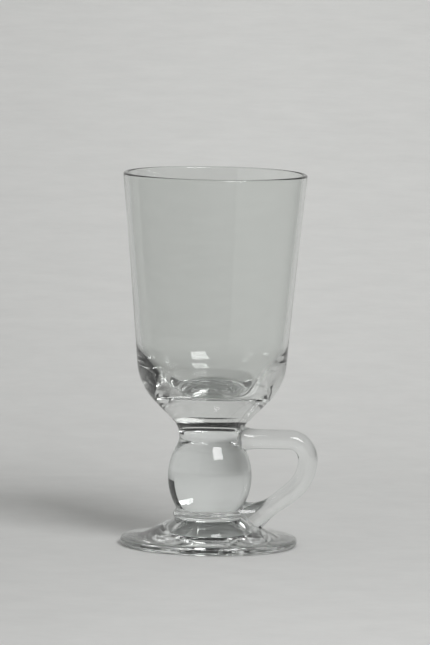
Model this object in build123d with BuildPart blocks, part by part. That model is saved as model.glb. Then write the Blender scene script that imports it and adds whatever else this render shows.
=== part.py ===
from build123d import *
from math import acos, atan2, degrees, pi, sin
import os

os.makedirs("parts", exist_ok=True)

# A stemmed coffee glass with a side handle, in millimetres.
# The origin is the middle of the foot's resting plane, +Z is up and the handle points along +X.
# Five turned pieces stand on one axis: foot, lower collar, ball, upper collar and bowl.
# They are fused face to face, so neighbours share one outline and one joint height.

# Heights: the foot and the rim from the table, the pieces between them each from the one below
foot_top = 10.8
lower_collar_height = 3.7
ball_rise = 13.7
neck_rise = 13.3
neck_length = 2.9
upper_collar_height = 3.2
rim_height = 150.0

# Foot: a low disc that rises to the stem, with a hollow under its middle
foot_radius = 35.5
foot_edge_height = 3.3
foot_edge_round = 1.5
flare_radius = 24.5
flare_height = 5.4
flare_round = 12.0
rest_inner_radius = 28.0
recess_depth = 1.0
punt_radius = 15.5
punt_height = 7.5

# Lower collar: a flat wafer with a bulging edge
collar_joint_radius = 13.8
collar_bulge = 0.6
groove_round = 1.1

# Ball: a barrel-shaped solid knop with a narrow neck above it
ball_foot_inset = 0.8
ball_radius = 16.85
neck_inset = 4.2
neck_foot_round = 7.0

# Bowl: a flared cup whose thick base narrows to the neck
base_lead = 0.2
base_round = 8.5
base_height = 16.7
base_thickness = 14.5
shoulder_radius = 29.35
shoulder_round = 25.0
rim_radius = 37.0
wall_bow = 0.25
rim_wall = 1.8
rim_round = 0.8
cavity_radius = 28.7
cavity_rise = 22.0
floor_round = 9.0

# Handle: a drawn oval bar, bent once at the top and swept down to the foot
handle_thickness = 7.9
handle_depth = 10.0
handle_drop = 1.2
handle_reach = 43.25
handle_bend = 7.9
handle_sweep = 17.0
handle_bury = 3.2
upper_root_steps = 5
upper_root_length = 12.0
upper_swell_height = 8.0
upper_swell_depth = 5.0
lower_root_steps = 12
lower_root_lead = 0.45
lower_root_depth = 3.36
lower_thinning = 1.2
lower_web = 16.0
lower_toe = 3.0
lower_swell_depth = 5.0

# Joint heights and shared radii, stacked up from the foot
lower_collar_top = foot_top + lower_collar_height
ball_middle = lower_collar_top + ball_rise
neck_foot = ball_middle + neck_rise
ball_top = neck_foot + neck_length
upper_collar_top = ball_top + upper_collar_height
base_start = upper_collar_top + base_lead
shoulder_height = base_start + base_height
cavity_floor = base_start + base_thickness
handle_top = ball_top - handle_drop
ball_foot_radius = collar_joint_radius - ball_foot_inset
neck_radius = ball_radius - neck_inset

# The handle's last sweep turns until it points at the end of its lower root, inside the stem
root_end = Vector(collar_joint_radius + lower_root_lead, foot_top - lower_root_depth)
sweep_centre = Vector(handle_reach - handle_thickness / 2 - handle_sweep, handle_top - handle_bend)
to_root = root_end - sweep_centre
handle_sweep_angle = -degrees(atan2(to_root.Y, to_root.X) + acos(handle_sweep / to_root.length))
lower_root_length = (to_root.length**2 - handle_sweep**2) ** 0.5

# The bowl's wall as a line with a slight bow, taken at mid height
wall_mid = ((shoulder_radius + rim_radius) / 2 - wall_bow, (shoulder_height + rim_height) / 2)

# Half outline of the whole outside, radius across and height up
with BuildSketch() as outline:
    with BuildLine():
        Polyline(
            (0, rim_height),
            (0, 0),
            (foot_radius, 0),
            (foot_radius, foot_edge_height),
            (flare_radius, flare_height),
            (collar_joint_radius, foot_top),
        )
        ThreePointArc(
            (collar_joint_radius, foot_top),
            (collar_joint_radius + collar_bulge, (foot_top + lower_collar_top) / 2),
            (ball_foot_radius, lower_collar_top),
        )
        ThreePointArc(
            (ball_foot_radius, lower_collar_top),
            (ball_radius, ball_middle),
            (neck_radius, neck_foot),
        )
        Polyline(
            (neck_radius, neck_foot),
            (neck_radius, base_start),
            (shoulder_radius, shoulder_height),
        )
        ThreePointArc((shoulder_radius, shoulder_height), wall_mid, (rim_radius, rim_height))
        Line((rim_radius, rim_height), (0, rim_height))
    make_face()
    edge_corners = outline.vertices().filter_by_position(Axis.X, foot_radius - 0.01, foot_radius + 0.01)
    fillet(edge_corners, foot_edge_round)
    fillet(outline.vertices().sort_by_distance((flare_radius, flare_height))[0], flare_round)
    fillet(outline.vertices().sort_by_distance((ball_foot_radius, lower_collar_top))[0], groove_round)
    fillet(outline.vertices().sort_by_distance((neck_radius, neck_foot))[0], neck_foot_round)
    fillet(outline.vertices().sort_by_distance((neck_radius, base_start))[0], base_round)
    fillet(outline.vertices().sort_by_distance((shoulder_radius, shoulder_height))[0], shoulder_round)

# Half outline of the space inside the bowl: a straight wall that runs into a ball, cut off flat for the floor
cavity_centre = Vector(0, cavity_floor + cavity_rise)
inner_rim = Vector(rim_radius - rim_wall, rim_height)
to_rim = inner_rim - cavity_centre
wall_turn = degrees(atan2(to_rim.Y, to_rim.X) - acos(cavity_radius / to_rim.length))
wall_foot = cavity_centre + Vector(cavity_radius, 0).rotate(Axis.Z, wall_turn)
floor_edge = (cavity_radius**2 - cavity_rise**2) ** 0.5
with BuildSketch() as cavity:
    with BuildLine():
        Polyline(wall_foot, inner_rim, (0, rim_height), (0, cavity_floor), (floor_edge, cavity_floor))
        RadiusArc((floor_edge, cavity_floor), wall_foot, -cavity_radius)
    make_face()
    fillet(cavity.vertices().sort_by_distance((floor_edge, cavity_floor))[0], floor_round)

# Half outline of the hollow under the foot, a shallow recess that rises to a dome in the middle
with BuildSketch() as hollow:
    with BuildLine():
        Polyline((0, recess_depth + punt_height), (0, 0), (rest_inner_radius, 0), (punt_radius, recess_depth))
        TangentArc((0, recess_depth + punt_height), (punt_radius, recess_depth), tangent=(1, 0))
    make_face()

# Foot, turned from the lowest band of the outline
with BuildPart() as foot:
    with BuildSketch(Plane.XZ):
        add(outline.sketch)
        Rectangle(2 * foot_radius, foot_top, align=(Align.CENTER, Align.MIN), mode=Mode.INTERSECT)
        add(hollow.sketch, mode=Mode.SUBTRACT)
    revolve(axis=Axis.Z)
foot.part.label = "foot"
export_step(foot.part, "parts/foot.step")

# Lower collar, the wafer between the foot and the ball
with BuildPart() as lower_collar:
    with BuildSketch(Plane.XZ):
        add(outline.sketch)
        with Locations((0, foot_top)):
            Rectangle(
                2 * foot_radius,
                lower_collar_top - foot_top,
                align=(Align.CENTER, Align.MIN),
                mode=Mode.INTERSECT,
            )
    revolve(axis=Axis.Z)
lower_collar.part.label = "lower_collar"
export_step(lower_collar.part, "parts/lower_collar.step")

# Ball, the solid knop that is held in the hand
with BuildPart() as ball:
    with BuildSketch(Plane.XZ):
        add(outline.sketch)
        with Locations((0, lower_collar_top)):
            Rectangle(
                2 * foot_radius,
                ball_top - lower_collar_top,
                align=(Align.CENTER, Align.MIN),
                mode=Mode.INTERSECT,
            )
    revolve(axis=Axis.Z)
ball.part.label = "ball"
export_step(ball.part, "parts/ball.step")

# Upper collar, the wafer between the ball's neck and the bowl
with BuildPart() as upper_collar:
    with BuildSketch(Plane.XZ):
        add(outline.sketch)
        with Locations((0, ball_top)):
            Rectangle(
                2 * foot_radius,
                upper_collar_top - ball_top,
                align=(Align.CENTER, Align.MIN),
                mode=Mode.INTERSECT,
            )
    revolve(axis=Axis.Z)
upper_collar.part.label = "upper_collar"
export_step(upper_collar.part, "parts/upper_collar.step")

# Bowl, with its rounded rim and the cavity inside
with BuildPart() as bowl:
    with BuildSketch(Plane.XZ) as bowl_section:
        add(outline.sketch)
        with Locations((0, upper_collar_top)):
            Rectangle(
                2 * rim_radius,
                rim_height - upper_collar_top,
                align=(Align.CENTER, Align.MIN),
                mode=Mode.INTERSECT,
            )
        add(cavity.sketch, mode=Mode.SUBTRACT)
        rim_corners = bowl_section.vertices().filter_by_position(Axis.Y, rim_height - 0.01, rim_height + 0.01)
        fillet(rim_corners, rim_round)
    revolve(axis=Axis.Z)
bowl.part.label = "bowl"
export_step(bowl.part, "parts/bowl.step")

# Handle, an oval bar bent along its line, with both ends swelling where they were pressed on to the stem.
# Its ends are trimmed to the turned pieces that it is fused to.
with BuildPart() as handle:
    with BuildLine(Plane.XZ) as handle_line:
        bar_start = neck_radius - handle_bury + upper_root_length
        bar_end = handle_reach - handle_thickness / 2 - handle_bend
        top_bar = Line((bar_start, handle_top), (bar_end, handle_top))
        bend = JernArc(top_bar @ 1, top_bar % 1, handle_bend, -90)
        drop = JernArc(bend @ 1, bend % 1, handle_sweep, -handle_sweep_angle)
    with BuildSketch(Plane(top_bar @ 0, x_dir=(0, 1, 0), z_dir=top_bar % 0)):
        Ellipse(handle_depth / 2, handle_thickness / 2)
    sweep(path=handle_line.line)
    for step in range(upper_root_steps + 1):
        along = step / upper_root_steps
        station = top_bar @ 0 - top_bar % 0 * (upper_root_length * along)
        with BuildSketch(Plane(station, x_dir=(0, 1, 0), z_dir=top_bar % 0)):
            Ellipse(
                (handle_depth + upper_swell_depth * along**3) / 2,
                (handle_thickness + upper_swell_height * along**3) / 2,
            )
    loft()
    for step in range(lower_root_steps + 1):
        along = step / lower_root_steps
        thinning = lower_thinning * sin(pi * along) ** 2
        flare = along**4
        station = drop @ 1 + drop % 1 * (lower_root_length * along)
        with BuildSketch(Plane(station, x_dir=(0, 1, 0), z_dir=drop % 1)):
            with Locations((0, (lower_toe - lower_web) / 2 * flare)):
                Ellipse(
                    (handle_depth - thinning + lower_swell_depth * flare) / 2,
                    (handle_thickness - thinning + (lower_web + lower_toe) * flare) / 2,
                )
    loft()
    add([foot.part, lower_collar.part, ball.part, upper_collar.part, bowl.part], mode=Mode.SUBTRACT)
handle.part.label = "handle"
export_step(handle.part, "parts/handle.step")
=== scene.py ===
import math
from collections import namedtuple

import bmesh
import bpy
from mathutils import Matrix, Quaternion, Vector


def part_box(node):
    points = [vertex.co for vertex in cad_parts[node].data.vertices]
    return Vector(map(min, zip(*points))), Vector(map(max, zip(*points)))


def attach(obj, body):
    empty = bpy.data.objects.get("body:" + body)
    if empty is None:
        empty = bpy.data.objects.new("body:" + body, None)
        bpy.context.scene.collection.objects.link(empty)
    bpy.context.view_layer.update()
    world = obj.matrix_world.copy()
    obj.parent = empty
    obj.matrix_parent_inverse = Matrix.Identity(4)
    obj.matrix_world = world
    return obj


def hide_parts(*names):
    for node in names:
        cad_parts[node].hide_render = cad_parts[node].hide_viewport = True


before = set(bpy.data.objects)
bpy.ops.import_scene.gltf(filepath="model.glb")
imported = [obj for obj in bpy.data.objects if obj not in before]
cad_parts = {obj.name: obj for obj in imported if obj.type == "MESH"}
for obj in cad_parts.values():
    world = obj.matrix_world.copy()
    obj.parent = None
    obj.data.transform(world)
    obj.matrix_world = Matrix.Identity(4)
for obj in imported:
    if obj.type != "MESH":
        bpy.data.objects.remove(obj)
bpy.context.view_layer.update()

# Foot
# The round glass disc that the mug stands on. It was pressed, with a hollow under its middle,
# and its rising centre is fused hot to the collar above it.
MM = 0.001
FACETS = 288
LONGEST_STEP = 6.0
WIDEST_TURN = math.radians(2.5)
FEWEST_ARC_STEPS = 4
TOUCH_DISTANCE = 1e-6

# A corner of a half outline, in millimetres. The bow is how far the run up to it swells outwards.
# A rounded edge is given by the two ends of its round.
Corner = namedtuple("Corner", "radius height bow", defaults=(0.0,))


def half_outline(*corners):
    """The points of a half outline in metres, from one end on the axis to the other.
    A run with a bow is an arc."""
    points = [Vector((corners[0].radius, corners[0].height))]
    for corner in corners[1:]:
        start, end = points[-1].copy(), Vector((corner.radius, corner.height))
        run = end - start
        if corner.bow == 0:
            steps = math.ceil(run.length / LONGEST_STEP)
            points += [start.lerp(end, (i + 1) / steps) for i in range(steps)]
            continue
        along = run.normalized()
        outwards = Vector((-along.y, along.x))
        radius = (run.length**2 / 4 + corner.bow**2) / (2 * corner.bow)
        half_turn = 2 * math.atan(2 * corner.bow / run.length)
        centre = (start + end) / 2 + outwards * (corner.bow - radius)
        steps = max(FEWEST_ARC_STEPS, math.ceil(abs(half_turn) * 2 / WIDEST_TURN))
        for i in range(steps):
            turn = half_turn * (2 * (i + 1) / steps - 1)
            points.append(centre + (outwards * math.cos(turn) + along * math.sin(turn)) * radius)
    return [point * MM for point in points]


def ring_skin_tree():
    """Geometry nodes that lay a ring of points round each station and join the rings into one closed skin.
    A station is a vertex with two half axes, across and up.
    Faces level with a joint get the seam material."""
    tree = bpy.data.node_groups.new("Glass drawn from rings", "GeometryNodeTree")
    sockets = tree.interface.new_socket
    sockets("Stations", in_out="INPUT", socket_type="NodeSocketGeometry")
    sockets("Facets", in_out="INPUT", socket_type="NodeSocketInt").default_value = FACETS
    sockets("First joint", in_out="INPUT", socket_type="NodeSocketFloat").default_value = -1.0
    sockets("Second joint", in_out="INPUT", socket_type="NodeSocketFloat").default_value = -1.0
    sockets("Glass", in_out="INPUT", socket_type="NodeSocketMaterial")
    sockets("Seam", in_out="INPUT", socket_type="NodeSocketMaterial")
    sockets("Skin", in_out="OUTPUT", socket_type="NodeSocketGeometry")
    nodes, link = tree.nodes, tree.links.new

    def node(kind, **settings):
        made = nodes.new(kind)
        for name, value in settings.items():
            setattr(made, name, value)
        return made

    def maths(operation, a, b=None):
        made = node("ShaderNodeMath", operation=operation)
        for socket, value in zip(made.inputs, (a, b)):
            if isinstance(value, (int, float)):
                socket.default_value = value
            elif value is not None:
                link(value, socket)
        return made.outputs[0]

    given = node("NodeGroupInput").outputs
    count = node("GeometryNodeAttributeDomainSize", component="MESH")
    link(given["Stations"], count.inputs["Geometry"])
    columns = maths("ADD", given["Facets"], 1)
    grid = node("GeometryNodeMeshGrid")
    link(count.outputs["Point Count"], grid.inputs["Vertices X"])
    link(columns, grid.inputs["Vertices Y"])
    index = node("GeometryNodeInputIndex").outputs[0]
    station = maths("FLOOR", maths("DIVIDE", maths("ADD", index, 0.5), columns))
    column = maths("SUBTRACT", index, maths("MULTIPLY", station, columns))
    turn = maths("DIVIDE", maths("MULTIPLY", column, math.tau), given["Facets"])

    def at_station(value):
        sample = node("GeometryNodeSampleIndex", data_type="FLOAT_VECTOR", domain="POINT")
        link(given["Stations"], sample.inputs["Geometry"])
        link(value, sample.inputs["Value"])
        link(station, sample.inputs["Index"])
        return sample.outputs["Value"]

    def half_axis(name, share):
        stored = node("GeometryNodeInputNamedAttribute", data_type="FLOAT_VECTOR")
        stored.inputs["Name"].default_value = name
        scaled = node("ShaderNodeVectorMath", operation="SCALE")
        link(at_station(stored.outputs["Attribute"]), scaled.inputs[0])
        link(share, scaled.inputs["Scale"])
        return scaled.outputs[0]

    def plus(a, b):
        made = node("ShaderNodeVectorMath", operation="ADD")
        link(a, made.inputs[0])
        link(b, made.inputs[1])
        return made.outputs[0]

    centre = at_station(node("GeometryNodeInputPosition").outputs[0])
    ring = plus(half_axis("across", maths("COSINE", turn)), half_axis("up", maths("SINE", turn)))
    place = node("GeometryNodeSetPosition")
    link(grid.outputs["Mesh"], place.inputs["Geometry"])
    link(plus(centre, ring), place.inputs["Position"])
    weld = node("GeometryNodeMergeByDistance")
    weld.inputs["Distance"].default_value = TOUCH_DISTANCE
    link(place.outputs[0], weld.inputs[0])
    smooth = node("GeometryNodeSetShadeSmooth")
    link(weld.outputs[0], smooth.inputs["Geometry"])
    real = node("GeometryNodeRealizeInstances")
    link(smooth.outputs[0], real.inputs[0])
    glass = node("GeometryNodeSetMaterial")
    link(real.outputs[0], glass.inputs["Geometry"])
    link(given["Glass"], glass.inputs["Material"])
    height = node("ShaderNodeSeparateXYZ")
    link(node("GeometryNodeInputPosition").outputs[0], height.inputs[0])
    level = []
    for name in ("First joint", "Second joint"):
        off = maths("ABSOLUTE", maths("SUBTRACT", height.outputs["Z"], given[name]))
        level.append(maths("LESS_THAN", off, TOUCH_DISTANCE))
    seam = node("GeometryNodeSetMaterial")
    link(glass.outputs[0], seam.inputs["Geometry"])
    link(maths("MAXIMUM", *level), seam.inputs["Selection"])
    link(given["Seam"], seam.inputs["Material"])
    link(seam.outputs[0], node("NodeGroupOutput").inputs["Skin"])
    return tree


RING_SKIN = ring_skin_tree()


def fused_seam():
    """The face where two gathers melted into one: light goes straight through it."""
    material = bpy.data.materials.new("Fused seam")
    material.use_nodes = True
    nodes, link = material.node_tree.nodes, material.node_tree.links.new
    nodes.remove(nodes["Principled BSDF"])
    clear = nodes.new("ShaderNodeBsdfTransparent")
    link(clear.outputs[0], nodes["Material Output"].inputs["Surface"])
    return material


SEAM = fused_seam()


def ring_skin(name, stations, facets, glass, joints=()):
    """A closed glass mesh object from stations (centre, across, up), all in metres."""
    mesh = bpy.data.meshes.new(name)
    mesh.from_pydata([s[0] for s in stations], [], [])
    for part, key in ((1, "across"), (2, "up")):
        axis = mesh.attributes.new(key, "FLOAT_VECTOR", "POINT")
        for value, station in zip(axis.data, stations):
            value.vector = station[part]
    piece = bpy.data.objects.new(name, mesh)
    bpy.context.scene.collection.objects.link(piece)
    maker = piece.modifiers.new("Rings", "NODES")
    maker.node_group = RING_SKIN
    sockets = {i.name: i.identifier for i in RING_SKIN.interface.items_tree if i.in_out == "INPUT"}
    maker[sockets["Facets"]] = facets
    maker[sockets["Glass"]] = glass
    maker[sockets["Seam"]] = SEAM
    for key, height in zip(("First joint", "Second joint"), joints):
        maker[sockets[key]] = height
    depsgraph = bpy.context.evaluated_depsgraph_get()
    skin = bpy.data.meshes.new_from_object(piece.evaluated_get(depsgraph), depsgraph=depsgraph)
    piece.modifiers.clear()
    piece.data = skin
    skin.name = name
    return piece


def turned_glass(name, outline, glass, joints):
    """A glass piece turned round the upright axis from its half outline."""
    stations = [(Vector((0, 0, z)), Vector((r, 0, 0)), Vector((0, r, 0))) for r, z in outline]
    return ring_skin(name, stations, FACETS, glass, joints)


def fire_polish_group():
    """Shader nodes for what heat leaves on pressed glass:
    slow waves, and a faint film that dulls it in places."""
    group = bpy.data.node_groups.new("Fire polish", "ShaderNodeTree")
    sockets = group.interface.new_socket
    sockets("Waves per metre", in_out="INPUT", socket_type="NodeSocketFloat").default_value = 60.0
    sockets("Wave depth", in_out="INPUT", socket_type="NodeSocketFloat").default_value = 0.02
    sockets("Film", in_out="INPUT", socket_type="NodeSocketFloat").default_value = 0.02
    sockets("Roughness", in_out="OUTPUT", socket_type="NodeSocketFloat")
    sockets("Normal", in_out="OUTPUT", socket_type="NodeSocketVector")
    nodes, link = group.nodes, group.links.new
    given = nodes.new("NodeGroupInput").outputs
    result = nodes.new("NodeGroupOutput").inputs
    where = nodes.new("ShaderNodeTexCoord").outputs["Object"]
    wave = nodes.new("ShaderNodeTexNoise")
    wave.inputs["Detail"].default_value = 1.0
    link(where, wave.inputs["Vector"])
    link(given["Waves per metre"], wave.inputs["Scale"])
    bump = nodes.new("ShaderNodeBump")
    bump.inputs["Distance"].default_value = MM
    link(given["Wave depth"], bump.inputs["Strength"])
    link(wave.outputs[0], bump.inputs["Height"])
    link(bump.outputs[0], result["Normal"])
    smudge = nodes.new("ShaderNodeTexNoise")
    smudge.inputs["Scale"].default_value = 45.0
    smudge.inputs["Detail"].default_value = 4.0
    link(where, smudge.inputs["Vector"])
    patches = nodes.new("ShaderNodeMapRange")
    patches.inputs["From Min"].default_value = 0.5
    patches.inputs["From Max"].default_value = 0.75
    link(smudge.outputs[0], patches.inputs["Value"])
    link(given["Film"], patches.inputs["To Max"])
    link(patches.outputs[0], result["Roughness"])
    return group


FIRE_POLISH = fire_polish_group()
DEEP_TINT = (0.05, 0.07, 0.065, 1)
GLASS_IOR = 1.51


def clear_glass(name, tint, edge, waves, wave_depth, film):
    """Clear glass of one melt, with its own faint tint and its own fire polish.
    The tint deepens, by the edge value, where light runs along the surface,
    as it then has a long way in the glass."""
    material = bpy.data.materials.new(name)
    material.use_nodes = True
    nodes, link = material.node_tree.nodes, material.node_tree.links.new
    glass = nodes["Principled BSDF"]
    slant = nodes.new("ShaderNodeLayerWeight")
    slant.inputs["Blend"].default_value = 0.5
    deepen = nodes.new("ShaderNodeMapRange")
    deepen.inputs["From Min"].default_value = 0.55
    deepen.inputs["From Max"].default_value = 0.95
    deepen.inputs["To Max"].default_value = edge
    link(slant.outputs["Facing"], deepen.inputs["Value"])
    colour = nodes.new("ShaderNodeMix")
    colour.data_type = "RGBA"
    colour.inputs["A"].default_value = (*tint, 1)
    colour.inputs["B"].default_value = DEEP_TINT
    link(deepen.outputs[0], colour.inputs["Factor"])
    link(colour.outputs["Result"], glass.inputs["Base Color"])
    glass.inputs["Transmission Weight"].default_value = 1.0
    glass.inputs["IOR"].default_value = GLASS_IOR
    polish = nodes.new("ShaderNodeGroup")
    polish.node_tree = FIRE_POLISH
    polish.inputs["Waves per metre"].default_value = waves
    polish.inputs["Wave depth"].default_value = wave_depth
    polish.inputs["Film"].default_value = film
    link(polish.outputs["Roughness"], glass.inputs["Roughness"])
    link(polish.outputs["Normal"], glass.inputs["Normal"])
    return material


def fuse(piece, node):
    """The piece stands for a CAD node, in that node's place."""
    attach(piece, "root")
    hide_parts(node)


FOOT_GLASS = clear_glass(
    "Foot glass", tint=(0.955, 0.977, 0.968), edge=0.5, waves=40.0, wave_depth=0.03, film=0.03
)
foot_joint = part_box("foot")[1].z
foot_top = foot_joint / MM
foot_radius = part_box("foot")[1].x / MM
foot_edge_round = 1.5
collar_joint_radius = 13.8
rest_inner_radius = 28.0
recess_depth = 1.0
dome_radius = 15.5
dome_height = 7.5
foot = turned_glass(
    "foot_disc",
    half_outline(
        Corner(0, foot_top),
        Corner(collar_joint_radius, foot_top),
        Corner(23.0, 6.16),
        Corner(26.15, 5.08, bow=-0.116),
        Corner(foot_radius - 1.22, 3.53),
        Corner(foot_radius, 2.06, bow=0.344),
        Corner(foot_radius, foot_edge_round),
        Corner(foot_radius - foot_edge_round, 0, bow=0.439),
        Corner(rest_inner_radius, 0),
        Corner(dome_radius, recess_depth),
        Corner(0, recess_depth + dome_height, bow=-1.9735),
    ),
    FOOT_GLASS,
    [foot_joint],
)
fuse(foot, "foot")

# Lower collar
# A wafer of glass with a bulging edge between the foot and the ball.
# It was dropped on while soft, so it is fused to both of them.
STEM_GLASS = clear_glass(
    "Stem glass", tint=(0.925, 0.948, 0.942), edge=1.0, waves=55.0, wave_depth=0.02, film=0.02
)
collar_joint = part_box("lower_collar")[1].z
collar_top = collar_joint / MM
groove_radius = 13.4275
lower_collar = turned_glass(
    "lower_collar_wafer",
    half_outline(
        Corner(0, collar_top),
        Corner(groove_radius, collar_top),
        Corner(13.715, collar_top - 0.472, bow=-0.0352),
        Corner(collar_joint_radius, foot_top, bow=0.659),
        Corner(0, foot_top),
    ),
    STEM_GLASS,
    [foot_joint, collar_joint],
)
fuse(lower_collar, "lower_collar")

# Ball
# The solid barrel-shaped knop that is the stem, shaped while it was soft.
# A short neck above it carries the bowl.
ball_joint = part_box("ball")[1].z
ball_top = ball_joint / MM
neck_radius = 12.65
ball = turned_glass(
    "ball_knop",
    half_outline(
        Corner(0, ball_top),
        Corner(neck_radius, ball_top),
        Corner(neck_radius, ball_top - 0.9),
        Corner(13.58, ball_top - 4.39, bow=-0.2365),
        Corner(13.529, collar_top + 0.87, bow=3.2998),
        Corner(groove_radius, collar_top, bow=-0.091),
        Corner(0, collar_top),
    ),
    STEM_GLASS,
    [collar_joint, ball_joint],
)
fuse(ball, "ball")

# Upper collar
# The thin wafer of glass at the neck, where the bowl was set down on the stem.
# Its edge runs on from the neck into the bowl's base.
neck_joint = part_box("upper_collar")[1].z
neck_top = neck_joint / MM
base_joint_radius = 13.325
upper_collar = turned_glass(
    "upper_collar_wafer",
    half_outline(
        Corner(0, neck_top),
        Corner(base_joint_radius, neck_top),
        Corner(neck_radius, ball_top, bow=-0.159),
        Corner(0, ball_top),
    ),
    STEM_GLASS,
    [ball_joint, neck_joint],
)
fuse(upper_collar, "upper_collar")

# Bowl
# The tall flared cup, pressed in one piece with a thick base and a fire-polished rim.
# Its base narrows to the neck and is fused to the collar.
BOWL_GLASS = clear_glass(
    "Bowl glass", tint=(0.90, 0.914, 0.902), edge=0.25, waves=28.0, wave_depth=0.03, film=0.015
)
rim_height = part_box("bowl")[1].z / MM
rim_radius = 37.0
rim_wall = 1.8
floor_height = 62.3
bowl = turned_glass(
    "bowl_cup",
    half_outline(
        Corner(0, floor_height),
        Corner(17.306, floor_height),
        Corner(19.326, 63.082, bow=-0.202),
        Corner(28.566, 81.532, bow=-1.918),
        Corner(rim_radius - rim_wall - 0.069, rim_height - 0.724),
        Corner(rim_radius - 1.072, rim_height, bow=0.208),
        Corner(rim_radius - 0.885, rim_height),
        Corner(rim_radius - 0.089, rim_height - 0.88, bow=0.264),
        Corner(30.074, 73.659, bow=-0.194),
        Corner(22.832, 57.982, bow=1.538),
        Corner(15.14, 50.29),
        Corner(base_joint_radius, neck_top, bow=-0.156),
        Corner(0, neck_top),
    ),
    BOWL_GLASS,
    [neck_joint],
)
fuse(bowl, "bowl")

# Handle
# An oval bar drawn from soft glass, bent once and swept down to the foot.
# Both ends were pressed on to the stem, where they swell and are fused to it.
HANDLE_GLASS = clear_glass(
    "Handle glass", tint=(0.975, 0.985, 0.98), edge=0.4, waves=45.0, wave_depth=0.02, film=0.02
)
HANDLE_FACETS = 96
thickness = 7.9
depth = 10.0
bend_radius = 7.9
sweep_radius = 17.0
bar_drop = 1.2
upper_bury = 3.2
upper_root = 12.0
upper_swell_height = 8.0
upper_swell_depth = 5.0
lower_lead = 0.45
lower_sink = 3.36
lower_thinning = 1.2
lower_swell_depth = 5.0
web = 16.0
toe = 3.0
bar_height = ball_top - bar_drop
bar_start = neck_radius - upper_bury + upper_root
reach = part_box("handle")[1].x / MM
bend_centre = Vector((reach - thickness / 2 - bend_radius, bar_height - bend_radius))
sweep_centre = Vector((reach - thickness / 2 - sweep_radius, bar_height - bend_radius))
root_end = Vector((collar_joint_radius + lower_lead, foot_top - lower_sink))
to_root = root_end - sweep_centre
sweep_end = math.atan2(to_root.y, to_root.x) + math.acos(sweep_radius / to_root.length)
lower_root = math.sqrt(to_root.length**2 - sweep_radius**2)


def oval(place, heading, high, wide):
    """One ring of the handle, from its place in the mug's plane, the bar's heading and the oval's size."""
    centre = Vector((place.x, 0, place.y)) * MM
    return centre, Vector((0, wide / 2, 0)) * MM, Vector((heading.y, 0, -heading.x)) * (high / 2 * MM)


def at_turn(turn):
    """The direction from a bend's centre at a turn, and the heading of the bar there."""
    out = Vector((math.cos(turn), math.sin(turn)))
    return out, Vector((out.y, -out.x))


def bend_rings(centre, radius, turns):
    """Plain rings round a bend, one at each turn."""
    rings = []
    for turn in turns:
        out, heading = at_turn(turn)
        rings.append(oval(centre + out * radius, heading, thickness, depth))
    return rings


def upper_root_rings(count):
    """Rings from inside the neck to where the swelling of the upper root ends."""
    rings = []
    for i in range(count):
        share = 1 - i / count
        swell = share**3
        place = Vector((bar_start - upper_root * share, bar_height))
        high, wide = thickness + upper_swell_height * swell, depth + upper_swell_depth * swell
        rings.append(oval(place, Vector((1, 0)), high, wide))
    return rings


def bar_rings(count):
    """Plain rings along the level bar, up to its bend."""
    rings = []
    for i in range(count):
        place = Vector((bar_start + (bend_centre.x - bar_start) * i / count, bar_height))
        rings.append(oval(place, Vector((1, 0)), thickness, depth))
    return rings


def lower_root_rings(count):
    """Rings down to inside the collar. The root grows a web towards the ball and a toe towards the foot."""
    out, heading = at_turn(sweep_end)
    start = sweep_centre + out * sweep_radius
    rings = []
    for i in range(count + 1):
        share = i / count
        thin = lower_thinning * math.sin(math.pi * share) ** 2
        flare = share**4
        place = start + heading * (lower_root * share) + out * ((toe - web) / 2 * flare)
        high = thickness - thin + (web + toe) * flare
        wide = depth - thin + lower_swell_depth * flare
        rings.append(oval(place, heading, high, wide))
    return rings


def capped(rings):
    """The rings with a point at each end, so that the skin is closed."""
    zero = Vector((0, 0, 0))
    return [(rings[0][0], zero, zero), *rings, (rings[-1][0], zero, zero)]


BEND_RINGS = 30
SWEEP_RINGS = 24
bend_turns = [math.radians(90 - 90 * i / BEND_RINGS) for i in range(BEND_RINGS)]
sweep_turns = [sweep_end * i / SWEEP_RINGS for i in range(SWEEP_RINGS)]
handle_rings = [
    *upper_root_rings(count=24),
    *bar_rings(count=5),
    *bend_rings(bend_centre, bend_radius, bend_turns),
    *bend_rings(sweep_centre, sweep_radius, sweep_turns),
    *lower_root_rings(count=40),
]
handle = ring_skin("handle_bar", capped(handle_rings), HANDLE_FACETS, HANDLE_GLASS)


def boolean(target, tool, operation):
    """A plain mesh of the target cut by the tool.
    Each face keeps the material of the piece that it came from."""
    cut = target.modifiers.new("Cut", "BOOLEAN")
    cut.operation = operation
    cut.solver = "EXACT"
    cut.object = tool
    cut.material_mode = "TRANSFER"
    depsgraph = bpy.context.evaluated_depsgraph_get()
    mesh = bpy.data.meshes.new_from_object(target.evaluated_get(depsgraph), depsgraph=depsgraph)
    target.modifiers.remove(cut)
    return mesh


WELD_DISTANCE = 1e-7


def imprint(piece, tool):
    """Marks the faces of the piece that lie inside the tool as a seam, cut along the tool's own edge."""
    own = list(piece.data.materials)
    whole = bmesh.new()
    for operation in ("DIFFERENCE", "INTERSECT"):
        mesh = boolean(piece, tool, operation)
        start = len(whole.faces)
        whole.from_mesh(mesh)
        whole.faces.ensure_lookup_table()
        spare = []
        for face in whole.faces[start:]:
            came_from = mesh.materials[face.material_index]
            if came_from == HANDLE_GLASS:
                spare.append(face)
            else:
                face.material_index = own.index(SEAM if operation == "INTERSECT" else came_from)
        bmesh.ops.delete(whole, geom=spare, context="FACES")
    bmesh.ops.remove_doubles(whole, verts=whole.verts, dist=WELD_DISTANCE)
    whole.to_mesh(piece.data)
    whole.free()


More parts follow.
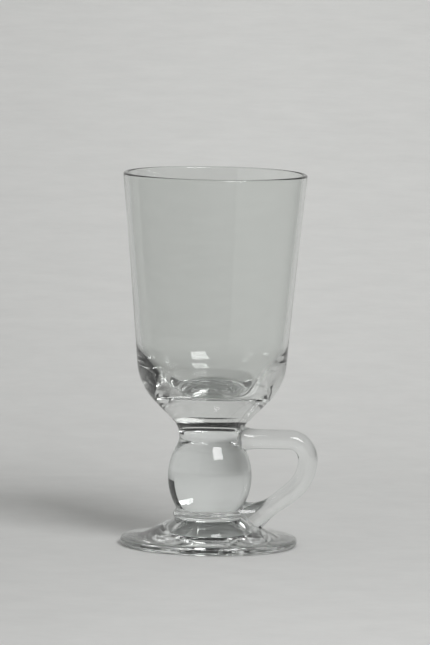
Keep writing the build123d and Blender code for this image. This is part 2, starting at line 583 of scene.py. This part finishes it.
# The handle is cut back by each piece that it meets, and its footprint is marked on that piece.
# At the joint heights the cuts leave some of its ends inside the stem, so its mesh is open there.
handle_whole = handle.copy()
handle_whole.data = handle.data.copy()
bpy.context.scene.collection.objects.link(handle_whole)
for piece in (foot, lower_collar, ball, upper_collar, bowl):
    handle.data = boolean(handle, piece, "DIFFERENCE")
    imprint(piece, handle_whole)
bpy.data.objects.remove(handle_whole)
handle_slots = list(handle.data.materials)
for face in handle.data.polygons:
    if handle_slots[face.material_index] != HANDLE_GLASS:
        face.material_index = handle_slots.index(SEAM)
fuse(handle, "handle")

SHARP_EDGE = math.radians(32)
for piece in (foot, lower_collar, ball, upper_collar, bowl, handle):
    piece.data.set_sharp_from_angle(angle=SHARP_EDGE)

# Studio
# A paper cove bent round the back and the left of the mug, under one softbox that is nearly square.
# The paper shows only its inner side and throws no shadow, so it never hides the mug from another view.
COVE_FLOOR = 0.22
COVE_ROUND = 0.30
COVE_HEIGHT = 0.50
COVE_FIRST = math.radians(45)
COVE_LAST = math.radians(240)
COVE_ROUND_STEPS = 24
COVE_COLUMNS = 120
FLOOR_REACH = 5.0
FLOOR_SIDES = 96
GRAIN_CONTRAST = 0.08


def paper(name, colour):
    """Matt pale paper with a faint level grain and painted shade that darkens its colour towards -X. Its
    back is clear.
    """
    material = bpy.data.materials.new(name)
    material.use_nodes = True
    nodes, link = material.node_tree.nodes, material.node_tree.links.new
    sheet = nodes["Principled BSDF"]
    sheet.inputs["Roughness"].default_value = 0.9
    sheet.inputs["Specular IOR Level"].default_value = 0.1
    where = nodes.new("ShaderNodeTexCoord").outputs["Object"]
    level = nodes.new("ShaderNodeVectorMath")
    level.operation = "MULTIPLY"
    level.inputs[1].default_value = (1.0, 1.0, 7.0)
    link(where, level.inputs[0])
    grain = nodes.new("ShaderNodeTexNoise")
    grain.inputs["Scale"].default_value = 40.0
    grain.inputs["Detail"].default_value = 6.0
    grain.inputs["Roughness"].default_value = 0.7
    link(level.outputs[0], grain.inputs["Vector"])
    shades = nodes.new("ShaderNodeMix")
    shades.data_type = "RGBA"
    shades.inputs["A"].default_value = (*[c * (1 - GRAIN_CONTRAST) for c in colour], 1)
    shades.inputs["B"].default_value = (*[c * (1 + GRAIN_CONTRAST) for c in colour], 1)
    link(grain.outputs[0], shades.inputs["Factor"])
    # Painted shade: the paper's colour is scaled from 1 down to 0.9 towards -X, standing in for the shade
    # on that side.
    across = nodes.new("ShaderNodeSeparateXYZ")
    link(where, across.inputs[0])
    painted_shade = nodes.new("ShaderNodeMapRange")
    painted_shade.interpolation_type = "SMOOTHSTEP"
    painted_shade.inputs["From Min"].default_value = -0.14
    painted_shade.inputs["From Max"].default_value = 0.04
    painted_shade.inputs["To Min"].default_value = 0.9
    link(across.outputs["X"], painted_shade.inputs["Value"])
    with_painted_shade = nodes.new("ShaderNodeVectorMath")
    with_painted_shade.operation = "SCALE"
    link(shades.outputs["Result"], with_painted_shade.inputs[0])
    link(painted_shade.outputs[0], with_painted_shade.inputs["Scale"])
    link(with_painted_shade.outputs[0], sheet.inputs["Base Color"])
    side = nodes.new("ShaderNodeNewGeometry")
    path = nodes.new("ShaderNodeLightPath")
    unseen = nodes.new("ShaderNodeMath")
    unseen.operation = "MAXIMUM"
    link(side.outputs["Backfacing"], unseen.inputs[0])
    link(path.outputs["Is Shadow Ray"], unseen.inputs[1])
    clear = nodes.new("ShaderNodeBsdfTransparent")
    one_sided = nodes.new("ShaderNodeMixShader")
    link(unseen.outputs[0], one_sided.inputs[0])
    link(sheet.outputs[0], one_sided.inputs[1])
    link(clear.outputs[0], one_sided.inputs[2])
    link(one_sided.outputs[0], nodes["Material Output"].inputs["Surface"])
    return material


def cove(mesh):
    """The round of the cove and its wall, as one open sheet that faces the mug."""
    profile = []
    for i in range(COVE_ROUND_STEPS + 1):
        turn = math.pi / 2 * i / COVE_ROUND_STEPS
        profile.append((COVE_FLOOR + COVE_ROUND * math.sin(turn), COVE_ROUND * (1 - math.cos(turn))))
    profile.append((COVE_FLOOR + COVE_ROUND, COVE_HEIGHT))
    columns = []
    for i in range(COVE_COLUMNS + 1):
        turn = COVE_FIRST + (COVE_LAST - COVE_FIRST) * i / COVE_COLUMNS
        columns.append([mesh.verts.new((r * math.cos(turn), r * math.sin(turn), z)) for r, z in profile])
    for a, b in zip(columns, columns[1:]):
        for i in range(len(profile) - 1):
            mesh.faces.new((a[i], a[i + 1], b[i + 1], b[i])).smooth = True


def floor_disc(mesh):
    """The flat sheet that the mug stands on."""
    bmesh.ops.create_circle(mesh, cap_ends=True, segments=FLOOR_SIDES, radius=FLOOR_REACH)


PAPER = paper("Grey paper", (0.73, 0.732, 0.722))
for name, draw in (("paper_floor", floor_disc), ("paper_cove", cove)):
    drawn = bmesh.new()
    draw(drawn)
    data = bpy.data.meshes.new(name)
    drawn.to_mesh(data)
    drawn.free()
    data.materials.append(PAPER)
    sheet = bpy.data.objects.new(name, data)
    bpy.context.scene.collection.objects.link(sheet)

LIGHT_BEARING = Vector((0.35, -0.645, 0.68))
LIGHT_DISTANCE = 2.0
LIGHT_TARGET = Vector((0, 0, 0.06))
softbox = bpy.data.objects.new("softbox", bpy.data.lights.new("softbox", "AREA"))
softbox.data.shape = "RECTANGLE"
softbox.data.size = 0.90
softbox.data.size_y = 0.78
softbox.data.energy = 23.5
softbox.location = LIGHT_BEARING * LIGHT_DISTANCE + LIGHT_TARGET
softbox.rotation_euler = LIGHT_BEARING.to_track_quat("Z", "Y").to_euler()
bpy.context.scene.collection.objects.link(softbox)


def studio_room():
    """Even grey light from the room, which looks nearly dark in reflections and through the glass."""
    world = bpy.data.worlds.new("Studio room")
    world.use_nodes = True
    nodes, link = world.node_tree.nodes, world.node_tree.links.new
    room = nodes["Background"]
    room.inputs["Color"].default_value = (0.325, 0.325, 0.321, 1)
    dim = nodes.new("ShaderNodeBackground")
    dim.inputs["Color"].default_value = (0.03, 0.03, 0.03, 1)
    path = nodes.new("ShaderNodeLightPath")
    sharp = nodes.new("ShaderNodeMath")
    sharp.operation = "MAXIMUM"
    link(path.outputs["Is Glossy Ray"], sharp.inputs[0])
    link(path.outputs["Is Transmission Ray"], sharp.inputs[1])
    blend = nodes.new("ShaderNodeMixShader")
    link(sharp.outputs[0], blend.inputs[0])
    link(room.outputs[0], blend.inputs[1])
    link(dim.outputs[0], blend.inputs[2])
    link(blend.outputs[0], nodes["World Output"].inputs["Surface"])
    return world


bpy.context.scene.world = studio_room()

# Camera
# A long lens far off and a little above the mug, leaning slightly as the photograph does.
DISTANCE = 2.5
EYE_HEIGHT = 0.3399
TARGET = Vector((0.000922, 0.0, 0.089881))
LEAN = math.radians(1.095)
camera = bpy.data.objects.new("camera", bpy.data.cameras.new("camera"))
camera.data.sensor_width = 36.0
camera.data.lens = 349.5
camera.data.clip_end = 50.0
camera.location = (0.0, -DISTANCE, EYE_HEIGHT)
aim = (TARGET - camera.location).to_track_quat("-Z", "Y")
camera.rotation_mode = "QUATERNION"
camera.rotation_quaternion = aim @ Quaternion((0, 0, 1), LEAN)
bpy.context.scene.collection.objects.link(camera)
bpy.context.scene.camera = camera

bpy.context.scene.view_settings.view_transform = "Standard"
bpy.context.scene.cycles.max_bounces = 32
bpy.context.scene.cycles.transmission_bounces = 32
bpy.context.scene.cycles.glossy_bounces = 12
bpy.context.scene.cycles.transparent_max_bounces = 48
